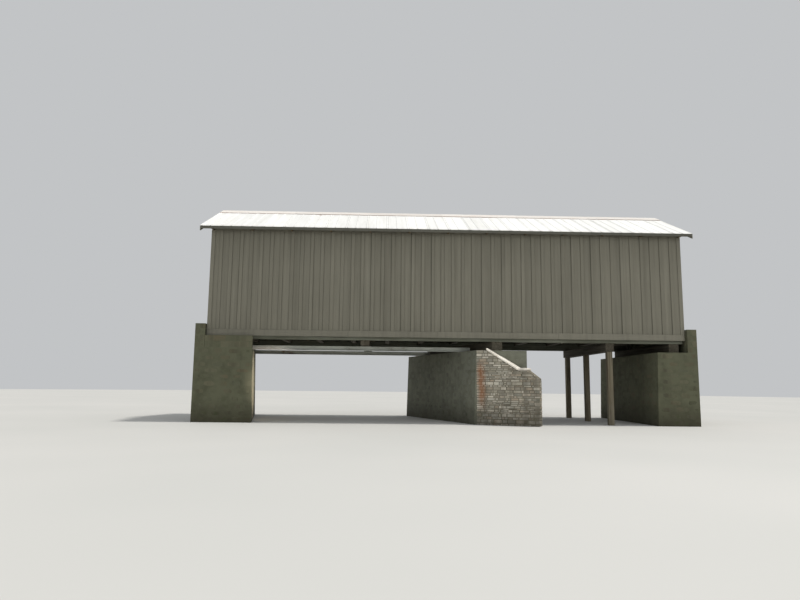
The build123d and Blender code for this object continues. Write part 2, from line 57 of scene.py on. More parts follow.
# Boarding
BOARD_MODULE = 0.305
BOARD_DEPTH = 0.025
BOARD_GAP = 0.004
BOARD_RECESS = 0.0005
BOARD_EDGE = 0.0022
BOARD_SWAY = 0.0014
LEAST_HALF, MOST_HALF = 0.1, 0.2
BATTEN_WIDTH = 0.095
BATTEN_DEPTH = 0.019
BATTEN_SHARES = (0.93, 1.06)
STRAY = 0.008
BATTEN_STRAY = 0.006
UNEVEN_FOOT = 0.004
UNEVEN_FACE = 0.0025
BLOCK_GAP = 0.002
LEAST_BLOCK = 0.05
TRIM_DEPTH = 0.022
TRIM_GAP = 0.003
TRIM_SWAY = 0.002
TRIM_EDGE = 0.003
TRIM_STRAY = 0.25
SKIRT_LENGTH = 3.66
FASCIA_LENGTH = 3.05
CASING_WIDTH = 0.14
PORTAL_HALF = 1.8
LOW_GIRT = 3.0
GIRT_HALF = 0.05
NAIL_RADIUS = 0.005
NAIL_HEAD = 0.004
NAIL_TAPER = 0.7
NAIL_STRAY = 0.02

# Roof
SHEET_DEPTH = 0.015
METAL_DEPTH = 0.0009
LEAST_LIFT = 0.0006
ROOF_SLACK = 0.02
FIRST_PANEL = 0.005
PANEL_COVER = 0.61
PANEL_RAISE = 0.0012
PANEL_DENT = 0.0016
PANEL_TOP = 0.03
PANEL_ROWS = 9
RIB_HEIGHT = 0.014
RIB_WIDTH = 0.032
RIB_PLACES = (0.0, 0.055, 0.305)
CAP_LENGTH = 2.44
CAP_LAP = 0.05
CAP_RAISE = 0.0014
CAP_STEPS = 6
CAP_EDGE = 0.004
CAP_HEM = 0.009
CAP_BELLY = 0.0004
CAP_ROLL = 0.016
CAP_CROWN = 0.004
CAP_WAVE = 0.0012
EAVE_STRAY = (0.001, 0.009)
SCREW_RADIUS = 0.008
SCREW_HEAD = 0.005
SCREW_TAPER = 0.55
SCREW_STRAY = 0.012
SCREW_ROWS = (0.38, 0.93, 1.58, 2.2)
CAP_SCREW_ROW = 0.42
CAP_SCREW_LIFT = 0.007
EAVE_SCREW = 0.11

# Floor
PLANK_WIDTH = 0.2
PLANK_LENGTH = 3.54
PLANK_SIDE_GAP = 0.003
PLANK_END_GAP = 0.002
PLANK_EDGE = 0.004
PLANK_SWAY = 0.0015
PLANK_WEAR = 0.003
LEAST_PLANK = 0.4

# Masonry: heights of courses, lengths and depth of stones, how uneven, rounded and bumpy they
# are, and the share of them that are two thin ones instead
Bond = namedtuple("Bond", "course course_spread length length_spread depth uneven rounding bumps halved")
SQUARED = Bond(0.2, 0.22, 0.42, 0.4, 0.24, 0.015, 0.14, 0.001, 0)
BACKWALL = SQUARED._replace(course=0.18, length=0.4, depth=0.13)
CHEEK = BACKWALL._replace(depth=0.09)
RUBBLE = Bond(0.068, 0.5, 0.16, 0.7, 0.13, 0.07, 0.24, 0.003, 0.08)
JOINT = 0.009
RUBBLE_RECESS = 0.016
WASHED_RECESS = 0.003
STONE_CUTS = 2
LEAST_STONE = 0.03
LEAST_TOP = 0.02
LEAST_RISE = 0.01
WING_DEPTH = 0.45
SLAB_DEPTH = 0.07
SLAB_LIP = 0.03
SLAB_JOINT = 0.003
SLAB_EDGE = 0.022
SLAB_WEAR = 0.004
SLAB_ENDS = (0, 0.34, 0.68, 1)

# Bolts
BOLT_RADIUS = 0.014
WASHER = 0.006
BOLT_STRAY = 0.01
BOLT_TAPER = 0.94
BOLTS_OVER_CHORD = (0.12, 0.24)
BOLTS_UNDER_PLATE = (0.1, 0.5)
TRUSS_DEPTH = 0.2
QUEEN_HALF = 0.16
END_POST_HALF = 0.1

# Heights of marks: splashes on the boards, painted shade under the eave, the rust run
SPLASH_TOP, SPLASH_FOOT = 3.0, 2.55
EAVE_SHADE_FOOT, EAVE_SHADE_TOP = 4.5, 5.5
RUN_FOOT, RUN_TOP = (0.4, 0.85), (1.9, 1.55)
RUN_MIDDLE = 0.94
RUN_MIDDLE_LEVEL = 1.2
RUN_HALF_WIDTH = 0.15
RUN_BEHIND = -2.42

# Tones of dirt, stains and painted shade
SEAM_SHADE_AND_DIRT = "35352c"
STONE_RUNS = "38352b"
FOOT_DARKENING = "332f24"
JOINT_FOOT_DARKENING = "2f2b21"
MOSS = "3c4529"
RUN_TONE = "96643f"
EAVE_DIRT = "77736a"
ROOF_RUST = "8f6a50"
CAP_RUSTS = ("93583c", "6e3c28")
GIRDER_RUSTS = ("8a5a40", "5f4233")

# Studio: the camera's heading, tilt and roll are in degrees
CAMERA_PLACE = (-1.92, -20.83, 1.10)
CAMERA_LENS = 28.23
CAMERA_TURNS = ((-1.5, "Z"), (97.76, "X"), (0.615, "Z"))
FLOOR_RADIUS = 90
FLOOR_TONES = ("c6c6c3", "cccbc8")
SKY = {"Color": (0.9, 0.92, 0.94, 1), "Strength": 0.6}
LAMPS = (
    ("high_light", "SUN", (14, -0.4, 38), (0, 0, 0), 2.15, (1, 0.97, 0.91), {"angle": radians(5)}),
    ("soft_front_light", "AREA", (11, -21, 12), (1, 0, 3), 600, (1, 1, 1), {"shape": "DISK", "size": 10}),
    ("low_side_light", "AREA", (-31, -29, 11), (0, 0, 1), 900, (0.96, 1, 1), {"shape": "DISK", "size": 16}),
    (
        "low_edge_light", "SPOT", (10, -15.5, 1.1), (-6.05, -0.75, 1.1), 80000, (1, 0.85, 0.8),
        {"spot_size": radians(5.6), "spot_blend": 0.35, "shadow_soft_size": 0.3},
    ),
)


class Wire:
    """A number that varies over a surface."""

    def __init__(self, coat, socket):
        self.coat = coat
        self.socket = socket

    def maths(self, operation, first, second):
        node = self.coat.node("Math", {"operation": operation}, {0: first, 1: second})
        return Wire(self.coat, node.outputs[0])

    def __add__(self, other):
        return self.maths("ADD", self, other)

    def __sub__(self, other):
        return self.maths("SUBTRACT", self, other)

    def __rsub__(self, other):
        return self.maths("SUBTRACT", other, self)

    def __mul__(self, other):
        return self.maths("MULTIPLY", self, other)

    __radd__ = __add__
    __rmul__ = __mul__

    def between(self, low, high):
        """0 below low, 1 above high and even in between; high may be the lower of the two."""
        values = {"Value": self, "From Min": low, "From Max": high}
        return Wire(self.coat, self.coat.node("MapRange", {"clamp": True}, values).outputs[0])

    def absolute(self):
        return self.maths("ABSOLUTE", self, 0)


class Coat:
    """A procedural finish, whose nodes feed one shader."""

    def __init__(self, name, slot, specular):
        self.material = bpy.data.materials.new(name)
        self.material.use_nodes = True
        self.tree = self.material.node_tree
        self.shader = self.tree.nodes["Principled BSDF"]
        self.shader.inputs["Specular IOR Level"].default_value = specular
        self.slot = slot
        self.place = self.node("TexCoord", {}, {}).outputs["Object"]

    def feed(self, node, values):
        """Links or sets sockets; a colour may be six hexadecimal digits."""
        for key, value in values.items():
            if isinstance(value, Wire):
                value = value.socket
            if isinstance(value, bpy.types.NodeSocket):
                self.tree.links.new(value, node.inputs[key])
            else:
                node.inputs[key].default_value = tone(value) if isinstance(value, str) else value

    def node(self, kind, settings, inputs):
        node = self.tree.nodes.new(f"ShaderNode{kind}")
        for key, value in settings.items():
            setattr(node, key, value)
        self.feed(node, inputs)
        return node

    def number(self, name):
        """A number kept on the mesh."""
        return Wire(self, self.node("Attribute", {"attribute_name": name}, {}).outputs["Fac"])

    def along_grain(self):
        """Coordinates along each board's grain."""
        return self.node("Attribute", {"attribute_name": "grain"}, {}).outputs["Vector"]

    def axes(self):
        parts = self.node("SeparateXYZ", {}, {0: self.place})
        return [Wire(self, output) for output in parts.outputs]

    def clouds(self, scale, detail=3, rough=0.55, warp=0, on=None):
        """Soft noise from 0 to 1; three scales stretch it along the axes."""
        vector = self.place if on is None else on
        if isinstance(scale, tuple):
            vector = self.node("Mapping", {}, {"Vector": vector, "Scale": scale}).outputs[0]
            scale = 1
        values = {"Vector": vector, "Scale": scale, "Detail": detail, "Roughness": rough, "Distortion": warp}
        return Wire(self, self.node("TexNoise", {}, values).outputs[0])

    def cells(self, scale):
        """Distance to the nearest of many scattered points."""
        values = {"Vector": self.place, "Scale": scale}
        return Wire(self, self.node("TexVoronoi", {}, values).outputs["Distance"])

    def ramp(self, value, tones):
        """Tones that follow one another evenly as a number grows."""
        node = self.node("ValToRGB", {}, {0: value})
        elements = node.color_ramp.elements
        while len(elements) < len(tones):
            elements.new(1)
        for index, (element, code) in enumerate(zip(elements, tones)):
            element.position = index / (len(tones) - 1)
            element.color = tone(code)
        return node.outputs[0]

    def mix(self, amount, first, second, blend="MIX"):
        settings = {"data_type": "RGBA", "blend_type": blend}
        return self.node("Mix", settings, {0: amount, 6: first, 7: second}).outputs[2]

    def cover(self, amount, over):
        """Lays a tone over the colour so far."""
        self.colour = self.mix(amount, self.colour, over)

    def light(self, brightness):
        self.colour = self.mix(1, self.colour, brightness, "MULTIPLY")

    def close(self, roughness, height=None, depth=0, strength=0.8, metal=0):
        """Feeds the shader the colour so far and the rest of the finish."""
        values = {"Base Color": self.colour, "Roughness": roughness, "Metallic": metal}
        if height is not None:
            relief = {"Height": height, "Distance": depth, "Strength": strength}
            values["Normal"] = self.node("Bump", {}, relief).outputs[0]
        self.feed(self.shader, values)
        return self


def tone(code):
    """A colour from its six hexadecimal digits."""
    parts = [int(code[start:start + 2], 16) / 255 for start in (0, 2, 4)]
    linear = [part / 12.92 if part <= 0.04045 else ((part + 0.055) / 1.055) ** 2.4 for part in parts]
    return (*linear, 1)


# Finishes


def painted_wood(name, slot, paint, worn, grime_and_shade):
    """Old paint on sawn boards, rubbed thin and dirty at the foot, with painted shade under the eave and
    painted shade with dirt beside the battens.
    """
    coat = Coat(name, slot, specular=0.25)
    grain = coat.along_grain()
    shade = coat.number("shade")
    height = coat.axes()[2]
    streak = coat.clouds((0.35, 11, 11), detail=5, rough=0.6, on=grain)
    fibre = coat.clouds((2.5, 150, 150), on=grain)
    patch = coat.clouds(0.55, detail=4, rough=0.6)
    drips = coat.clouds((9, 9, 0.3), detail=4)
    coat.colour = coat.mix(streak.between(0.46, 0.72) * 0.6, paint, worn)
    splash = height.between(SPLASH_TOP, SPLASH_FOOT) * 0.2
    # Painted shade under the eave: the boards darken towards the top of the wall
    eave_shade = height.between(EAVE_SHADE_FOOT, EAVE_SHADE_TOP) * 0.28
    coat.cover(drips.between(0.46, 0.72) * 0.3 + splash + eave_shade, grime_and_shade)
    across = coat.number("across")
    # Painted shade and dirt along both edges of each batten, stronger on one side, where the batten's shadow
    # falls
    batten_shade_and_dirt = across.between(0.5, 0.68) * 0.6 + across.between(-0.58, -0.68) * 0.3
    coat.cover(batten_shade_and_dirt * drips.between(0.2, 0.62), SEAM_SHADE_AND_DIRT)
    coat.light(0.9 + shade * 0.1 + (fibre - 0.5) * 0.22 + (patch - 0.5) * 0.2)
    return coat.close(0.72 + streak * 0.2, fibre + streak * 0.6, 0.0022)


def old_timber(name, slot, light, dark, weathered):
    """Bare timber with growth lines, checks and worn patches."""
    coat = Coat(name, slot, specular=0.2)
    grain = coat.along_grain()
    shade = coat.number("shade")
    rings = coat.clouds((0.5, 16, 16), detail=6, rough=0.62, warp=0.4, on=grain)
    fibre = coat.clouds((3, 170, 170), on=grain)
    checks = coat.clouds((1.1, 42, 42), detail=2, on=grain).between(0.66, 0.72)
    patch = coat.clouds(1.1, detail=4)
    coat.colour = coat.mix(rings.between(0.38, 0.66), light, dark)
    coat.cover(patch.between(0.45, 0.75) * 0.6, weathered)
    coat.light((0.76 + shade * 0.34 + (fibre - 0.5) * 0.35) * (1 - checks * 0.6))
    return coat.close(0.78 + rings * 0.15, fibre * 0.5 + rings - checks * 1.2, 0.004)


def stone(name, slot, tones, wash, wash_cover, stained=False, lightness=0.72):
    """Rough stone in several tones, partly washed over, darker and mossy towards the foot."""
    coat = Coat(name, slot, specular=0.3)
    shade = coat.number("shade")
    height = coat.axes()[2]
    blotch = coat.clouds(2.3, detail=5, rough=0.6)
    grit = coat.clouds(38, detail=5, rough=0.65)
    specks = coat.cells(130)
    pits = coat.clouds(90).between(0.6, 0.72)
    coat.colour = coat.ramp(shade + (blotch - 0.5) * 0.3, tones.split())
    cover = (blotch + (grit - 0.5) * 0.35).between(1 - wash_cover, 1.25 - wash_cover)
    coat.cover(cover * 0.85, wash)
    runs = coat.clouds((4, 4, 0.3), detail=4)
    coat.cover(runs.between(0.5, 0.72) * 0.5, STONE_RUNS)
    foot = height + (blotch - 0.5) * 0.7
    # Darker towards the foot
    coat.cover(foot.between(0.75, 0.1) * 0.65, FOOT_DARKENING)
    moss = coat.clouds(5, detail=5).between(0.52, 0.7) * foot.between(1.3, 0.3)
    coat.cover(moss * 0.5, MOSS)
    if stained:
        rust_run(coat)
    coat.light(lightness + grit * 0.4 + (specks - 0.4) * 0.25 - pits * 0.25)
    return coat.close(0.8 + grit * 0.15, blotch * 2 + grit * 0.9 - pits * 0.8, 0.008, 0.7)


def rust_run(coat):
    """Orange run down the near wing wall, beside the girder's end."""
    along, across, height = coat.axes()
    wander = coat.clouds(3, detail=4)
    lean = (height - RUN_MIDDLE_LEVEL) * 0.05
    offset = (along + (wander - 0.5) * 0.2 + lean - RUN_MIDDLE).absolute()
    reach = height.between(*RUN_FOOT) * height.between(*RUN_TOP)
    edge = offset.between(RUN_HALF_WIDTH, 0.02)
    coat.cover(edge * reach * across.between(RUN_BEHIND, RUN_BEHIND - 0.02) * 0.75, RUN_TONE)


def mortar(name, slot, base, dark, stained=False):
    """Sandy mortar, darker in patches and at the foot."""
    coat = Coat(name, slot, specular=0.2)
    height = coat.axes()[2]
    blotch = coat.clouds(3.1, detail=5)
    sand = coat.clouds(210)
    coat.colour = coat.mix(blotch.between(0.4, 0.68), base, dark)
    # Darker towards the foot
    coat.cover(height.between(0.7, 0.05) * 0.6, JOINT_FOOT_DARKENING)
    if stained:
        rust_run(coat)
    coat.light(0.75 + sand * 0.45)
    return coat.close(0.92, sand + blotch, 0.003)


def roof_sheet_metal():
    """Bright sheet metal with dirt along the eave and rust round the laps."""
    coat = Coat("weathered_roof_metal", "roof_metal", specular=0.2)
    shade = coat.number("shade")
    across = coat.axes()[1]
    wash = coat.clouds((9, 0.7, 0.7), detail=5)
    patch = coat.clouds(1.4, detail=5, rough=0.62)
    spangle = coat.cells(75)
    coat.colour = coat.mix(wash.between(0.4, 0.7) * 0.5, "f7f7f5", "e2e1dc")
    rust = (patch + (wash - 0.5) * 0.5).between(0.66, 0.8)
    coat.cover(rust * 0.6, ROOF_RUST)
    coat.cover(across.absolute().between(2.3, 2.55) * wash * 0.35, EAVE_DIRT)
    coat.light(0.9 + shade * 0.12 + (spangle - 0.4) * 0.06)
    rough = 0.5 + rust * 0.35 + patch * 0.15
    return coat.close(rough, patch + wash * 0.4, 0.004, 0.5, 0.1 - rust * 0.1)


def ridge_cap_metal():
    """The same metal, rusty along the cap's lower edges."""
    coat = Coat("rusty_ridge_metal", "ridge_metal", specular=0.2)
    shade = coat.number("shade")
    across = coat.axes()[1].absolute()
    patch = coat.clouds((1.2, 5, 5), detail=6, rough=0.68)
    fine = coat.clouds(45, detail=4)
    coat.colour = coat.mix(patch.between(0.35, 0.7), "f2efea", "e4dad2")
    edge = across.between(0.375, 0.42)
    rust = (patch * 0.6 + fine * 0.15 + edge * 0.5).between(0.66, 0.86)
    coat.cover(rust * 0.9, coat.mix(fine.between(0.3, 0.7), *CAP_RUSTS))
    coat.light(0.88 + shade * 0.14)
    return coat.close(0.5 + rust * 0.35, patch + fine * 0.3, 0.003, 0.6, 0.1 - rust * 0.1)


def girder_paint():
    """Chalky grey paint on steel, with rust breaking through."""
    coat = Coat("weathered_girder_paint", "girder_steel", specular=0.4)
    patch = coat.clouds((1.3, 4, 4), detail=6, rough=0.66)
    fine = coat.clouds(60, detail=4)
    coat.colour = coat.mix(patch.between(0.4, 0.65), "bfc2ba", "a3a69d")
    rust = (patch * 0.9 + fine * 0.25).between(0.64, 0.76)
    coat.cover(rust, coat.mix(fine.between(0.35, 0.65), *GIRDER_RUSTS))
    coat.light(0.82 + fine * 0.3)
    return coat.close(0.55 + rust * 0.35, rust + fine * 0.4, 0.0012, metal=0.15)


def iron(name, slot, base, rust):
    """Dark fastener iron, spotted with rust."""
    coat = Coat(name, slot, specular=0.5)
    fine = coat.clouds(160)
    broad = coat.clouds(5)
    coat.colour = coat.mix((fine + broad * 0.6).between(0.6, 0.95), base, rust)
    return coat.close(0.55 + fine * 0.3, fine, 0.0008, metal=0.5)


# Olive brown boards with a darker fascia as painted shade under the eave, grey green stone and stone
# darkened as painted shade, pale rubble, and coping made paler as painted sunlight
siding_finish = painted_wood("siding_paint", "siding_board", "7e7b6e", "8a877a", "5f5d52")
trim_finish = painted_wood("trim_paint", "trim_board", "827f72", "8e8b7e", "656358")
# The fascia's paint is darker than the other boards': painted shade for the dark line under the eave
fascia_shade_finish = painted_wood("fascia_paint_darkened_as_shade", "trim_board", "65645b", "6f6e64", "504f47")
timber_finish = old_timber("dark_timber", "heavy_timber", "857d6a", "595041", "8f8b7d")
chord_finish = old_timber("grey_timber", "heavy_timber", "717367", "56574a", "7d7f72")
sill_finish = old_timber("damp_timber", "heavy_timber", "5c574b", "3d382e", "6a665a")
frame_finish = old_timber("roof_timber", "frame_timber", "77694f", "4c3f2f", "7d776a")
deck_finish = old_timber("deck_timber", "deck_plank", "7c7260", "554a3b", "8a857a")
washed_stone = stone("washed_stone", "stone", "727468 7a786a 686a5f 817e70 6f7367", "797b6e", 0.72)
# A darker copy of the washed stone: painted shade on the left abutment, the end pier, the backwalls and the
# seat cheeks
shade_darkened_stone = stone("shade_darkened_stone", "stone", "5c5e4c 665f4b 565844 6a6753 5a5c49", "626350", 0.6)
rubble_stone = stone(
    "rubble_stone", "stone", "cac4b5 a49e8e d9d3c4 afa28f 939084 c0bbad", "d2cdbf", 0.42, stained=True
)
# Near-white tones and raised lightness: the pale coping is partly painted sunlight
coping_stone_with_painted_sun = stone("coping_stone_with_painted_sun", "coping", "f3ede2 e3dccf efe8dd", "faf5ee", 0.5, lightness=0.84)
washed_mortar = mortar("washed_mortar", "stone", "7a7c6e", "68695d")
# A darker copy of the washed mortar: painted shade
shade_darkened_mortar = mortar("shade_darkened_mortar", "stone", "626350", "545544")
rubble_mortar = mortar("rubble_mortar", "stone", "857f70", "656154", stained=True)
roof_metal = roof_sheet_metal()
cap_metal = ridge_cap_metal()
girder_finish = girder_paint()
bolt_iron = iron("bolt_iron", "girder_steel", "4a4642", "5f3c2a")
nail_iron = iron("nail_iron", "siding_board", "57534b", "5c4030")
screw_metal = iron("screw_metal", "roof_metal", "a9a7a2", "7d6250")


# Shapes


def started(key, node=None):
    """A piece's own random draws, and its mesh: empty, or a CAD node's with flat faces joined."""
    bm = bmesh.new()
    if node:
        bm.from_mesh(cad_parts[node].data)
        bmesh.ops.remove_doubles(bm, verts=bm.verts, dist=0.00002)
        bmesh.ops.dissolve_limit(bm, angle_limit=radians(0.5), verts=bm.verts, edges=bm.edges)
    return random.Random(f"{SEED} {key}"), bm


def anywhere(rng, reach=90):
    """A place far off, so that each part has noise of its own."""
    return Vector([rng.uniform(-reach, reach) for _ in range(3)])


def block(bm, corners):
    """Adds a cube pushed to eight corners, the four low ones first."""
    turn = {(-1, -1): 0, (1, -1): 1, (1, 1): 2, (-1, 1): 3}
    for vert in bmesh.ops.create_cube(bm, size=2)["verts"]:
        x, y, z = (round(value) for value in vert.co)
        vert.co = corners[turn[x, y] + (4 if z > 0 else 0)]


def sheet(bm, columns, rows, place):
    """Adds a sheet with a corner for each column and row where place puts it."""
    last_column, last_row = len(columns) - 1, len(rows) - 1
    for vert in bmesh.ops.create_grid(bm, x_segments=last_column, y_segments=last_row, size=1)["verts"]:
        column = columns[round((vert.co.x + 1) / 2 * last_column)]
        row = rows[round((vert.co.y + 1) / 2 * last_row)]
        vert.co = place(column, row)


def thicken(bm):
    """Gives sheets the thickness of roof metal."""
    bm.normal_update()
    bmesh.ops.solidify(bm, geom=bm.faces[:], thickness=METAL_DEPTH)


def head(bm, segments, wide, narrow, tall, centre, turn):
    """Adds a low cone: the head of a nail or screw, or a part of a bolt."""
    bmesh.ops.create_cone(
        bm, cap_ends=True, segments=segments, radius1=wide, radius2=narrow, depth=tall,
        matrix=Matrix.Translation(centre) @ turn,
    )


def everything_on(verts):
    """Vertices with the edges and faces on them."""
    edges = {edge: None for vert in verts for edge in vert.link_edges}
    faces = {face: None for vert in verts for face in vert.link_faces}
    return [*verts, *edges, *faces]


def board(bm, rng, first, last, rungs=0, sway=BOARD_SWAY):
    """Adds a board between two corners, cut along its length so that it can sway."""
    low, high = [*map(min, first, last)], [*map(max, first, last)]
    spans = [end - start for start, end in zip(low, high)]
    longest = spans.index(max(spans))
    along = Vector([axis == longest for axis in range(3)])
    place = Matrix.LocRotScale((Vector(low) + Vector(high)) / 2, None, Vector(high) - Vector(low))
    verts = bmesh.ops.create_cube(bm, size=1, matrix=place)["verts"]
    for rung in range(1, rungs + 1):
        cut = Vector(low) + along * spans[longest] * rung / (rungs + 1)
        bmesh.ops.bisect_plane(bm, geom=everything_on(verts), plane_co=cut, plane_no=along)
        verts = loose_part(verts[0])
    start = anywhere(rng)
    for vert in verts:
        shift = noise.noise_vector(vert.co * 0.9 + start) * sway
        shift[longest] = 0
        vert.co += shift


def soften(bm, width, segments):
    """Takes the sharp edges off."""
    sharp = [edge for edge in bm.edges if edge.is_manifold and edge.calc_face_angle() > SHARP]
    bmesh.ops.bevel(
        bm, geom=sharp, offset=width, segments=segments, profile=0.5, affect="EDGES", material=-1,
        clamp_overlap=True,
    )


def cut_off(bm, point, normal, geom=None):
    """Cuts off what lies in front of a plane and closes the cut."""
    geom = geom or bm.verts[:] + bm.edges[:] + bm.faces[:]
    cut = bmesh.ops.bisect_plane(bm, geom=geom, plane_co=point, plane_no=normal, clear_outer=True)
    rim = [item for item in cut["geom_cut"] if isinstance(item, bmesh.types.BMEdge)]
    bmesh.ops.edgeloop_fill(bm, edges=rim)


def loose_part(start):
    """The vertices joined to one vertex by edges, itself included."""
    part = [start]
    seen = {start}
    for vert in part:
        others = [edge.other_vert(vert) for edge in vert.link_edges]
        part += [other for other in others if other not in seen]
        seen.update(others)
    return part


def islands(bm):
    """The loose parts of a mesh, each as a list of its vertices."""
    done = set()
    for start in bm.verts:
        if start not in done:
            part = loose_part(start)
            done.update(part)
            yield part


def long_axis(part):
    """Direction in which a loose part is longest."""
    middle = sum((vert.co for vert in part), Vector()) / len(part)
    arms = [vert.co - middle for vert in part]
    axis = max(arms, key=lambda arm: arm.length).normalized()
    for _ in range(8):
        axis = sum((arm * arm.dot(axis) for arm in arms), Vector()).normalized()
    return axis


def mark_parts(bm, rng, grain):
    """Gives each loose part its own shade and, on wood, coordinates along its grain and the share
    of the way from a wide board's middle to its edges."""
    shades = bm.verts.layers.float.new("shade")
    if grain:
        grains = bm.verts.layers.float_vector.new("grain")
        shares = bm.verts.layers.float.new("across")
    for part in islands(bm):
        value = rng.random()
        for vert in part:
            vert[shades] = value
        if not grain:
            continue
        axis = long_axis(part)
        upright = abs(axis.z) > 0.8
        beside = axis.cross(Vector((1, 0, 0)) if upright else Vector((0, 0, 1))).normalized()
        ways = (axis, beside, beside.cross(axis))
        start = anywhere(rng, 40)
        for vert in part:
            vert[grains] = start + Vector([vert.co.dot(way) for way in ways])
        for side in (0, 1):
            places = [vert.co[side] for vert in part]
            half = (max(places) - min(places)) / 2
            if upright and LEAST_HALF < half < MOST_HALF:
                for vert, place in zip(part, places):
                    vert[shares] = (place - min(places)) / half - 1


def shown(name, data):
    """Makes data an object of the scene."""
    item = bpy.data.objects.new(name, data)
    bpy.context.scene.collection.objects.link(item)
    return item


def shown_mesh(name, bm, finish):
    """Makes a mesh under work an object with a finish."""
    mesh = bpy.data.meshes.new(name)
    bm.to_mesh(mesh)
    bm.free()
    mesh.materials.append(finish.material)
    return shown(name, mesh)


def piece(name, bm, rng, finish, nodes=(), grain=True, edge=0):
    """Makes a mesh a finished piece that stands for the CAD nodes named, with worn edges."""
    if edge:
        soften(bm, edge, 1)
    bmesh.ops.recalc_face_normals(bm, faces=bm.faces)
    mark_parts(bm, rng, grain)
    item = shown_mesh(name, bm, finish)
    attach(item, "root")
    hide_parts(*nodes)


def points_of(node):
    """The corners of a CAD node's mesh."""
    return [vert.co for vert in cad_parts[node].data.vertices]


# Levels and lines taken from the frame
siding_low, siding_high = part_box("near_siding")
jamb_low, jamb_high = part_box("portal_jambs")
sheet_low, sheet_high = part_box("near_roof_sheet")
cap_low, cap_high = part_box("ridge_cap")
deck_low, deck_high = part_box("deck")
girt_low, girt_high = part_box("girts")
post_low, post_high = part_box("end_posts")
skirt_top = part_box("skirt_boards")[1].z
gable_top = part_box("left_gable")[1].z
chord_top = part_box("near_bottom_chord")[1].z
plate_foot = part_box("top_plates")[0].z
queen_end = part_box("queen_posts")[1].x
abutment_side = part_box("right_abutment")[1].y
housing_end = siding_high.x
wall_face = -siding_low.y
girt_levels = (LOW_GIRT, (girt_low.z + girt_high.z) / 2, girt_high.z - GIRT_HALF)
bolt_levels = [chord_top + rise for rise in BOLTS_OVER_CHORD]
bolt_levels += [plate_foot - drop for drop in BOLTS_UNDER_PLATE]

# Top of the siding where it is notched round a rafter
notch_level = sorted({round(point.z, 4) for point in points_of("near_siding")})[-2]

# Slope of the roof, from the ridge to the top of the eave
eave_top = max(point.z for point in points_of("near_roof_sheet") if point.y < sheet_low.y + HAIR)
pitch = atan2(sheet_high.z - eave_top, -sheet_low.y)
slope_length = -sheet_low.y / cos(pitch)
panel_count = round((sheet_high.x - sheet_low.x) / PANEL_COVER)
panel_cover = (sheet_high.x - sheet_low.x - ROOF_SLACK) / panel_count
panel_starts = [sheet_low.x + FIRST_PANEL + index * panel_cover for index in range(panel_count)]


def slope_point(side, x, down, lift):
    """A point at a distance down the slope from the ridge and lifted off the purlins."""
    y = down * cos(pitch) + lift * sin(pitch)
    z = sheet_high.z - SHEET_DEPTH / cos(pitch) - down * sin(pitch) + lift * cos(pitch)
    return Vector((x, side * y, z))


# Walls


def siding_wall(name, side):
    """Upright boards with a batten over each joint, stopping at the skirt board."""
    rng, bm = started(f"{name} siding")
    count = round((siding_high.x - siding_low.x) / BOARD_MODULE)
    module = (siding_high.x - siding_low.x) / count
    seams = [siding_low.x + index * module + rng.uniform(-STRAY, STRAY) for index in range(1, count)]
    edges = [siding_low.x, *seams, siding_high.x]
    inner = side * (wall_face - BOARD_DEPTH)
    outer = side * (wall_face - BOARD_RECESS)
    for start, end in pairwise(edges):
        face = outer - side * rng.uniform(0, UNEVEN_FACE)
        first = (start + BOARD_GAP / 2, inner, siding_low.z + rng.uniform(0, UNEVEN_FOOT))
        board(bm, rng, first, (end - BOARD_GAP / 2, face, notch_level), rungs=6)
    for seam in seams:
        half = BATTEN_WIDTH * rng.uniform(*BATTEN_SHARES) / 2
        middle = seam + rng.uniform(-BATTEN_STRAY, BATTEN_STRAY)
        first = (middle - half, outer, skirt_top + rng.uniform(0, UNEVEN_FOOT))
        board(bm, rng, first, (middle + half, side * (wall_face + BATTEN_DEPTH), notch_level), rungs=8)
    piece(f"{name}_boards_and_battens", bm, rng, siding_finish, [f"{name}_siding"], edge=BOARD_EDGE)
    return seams


def rafter_edges():
    """Where the rafters pass through the side walls."""
    _, bm = started("rafters", "near_rafters")
    lines = [[vert.co.x for vert in part] for part in islands(bm)]
    bm.free()
    return sorted({edge for line in lines for edge in (min(line), max(line))})


def frieze_blocks(name, side):
    """Short boards between the rafters, closing the wall under the roof."""
    rng, bm = started(f"{name} frieze")
    inner, outer = side * (wall_face - BOARD_DEPTH), side * (wall_face - HAIR)
    edges = [siding_low.x, *rafter_edges(), siding_high.x]
    for start, end in zip(edges[::2], edges[1::2]):
        if end - start > LEAST_BLOCK:
            first = (start + BLOCK_GAP, inner, notch_level + BLOCK_GAP)
            board(bm, rng, first, (end - BLOCK_GAP, outer, siding_high.z), sway=0)
    piece(f"{name}_frieze_blocks", bm, rng, siding_finish, edge=2 * HAIR)


def nails(name, side, seams):
    """Nail heads through the battens, at each girt."""
    rng, bm = started(f"{name} nails")
    turn = Matrix.Rotation(radians(90), 4, "X")
    for seam in seams:
        for level in girt_levels:
            z = level + rng.uniform(-NAIL_STRAY, NAIL_STRAY)
            x = seam + rng.uniform(-STRAY, STRAY)
            centre = Vector((x, side * (wall_face + BATTEN_DEPTH + BOARD_RECESS), z))
            head(bm, 8, NAIL_RADIUS, NAIL_RADIUS * NAIL_TAPER, NAIL_HEAD, centre, turn)
    piece(f"{name}_siding_nails", bm, rng, nail_iron, grain=False)


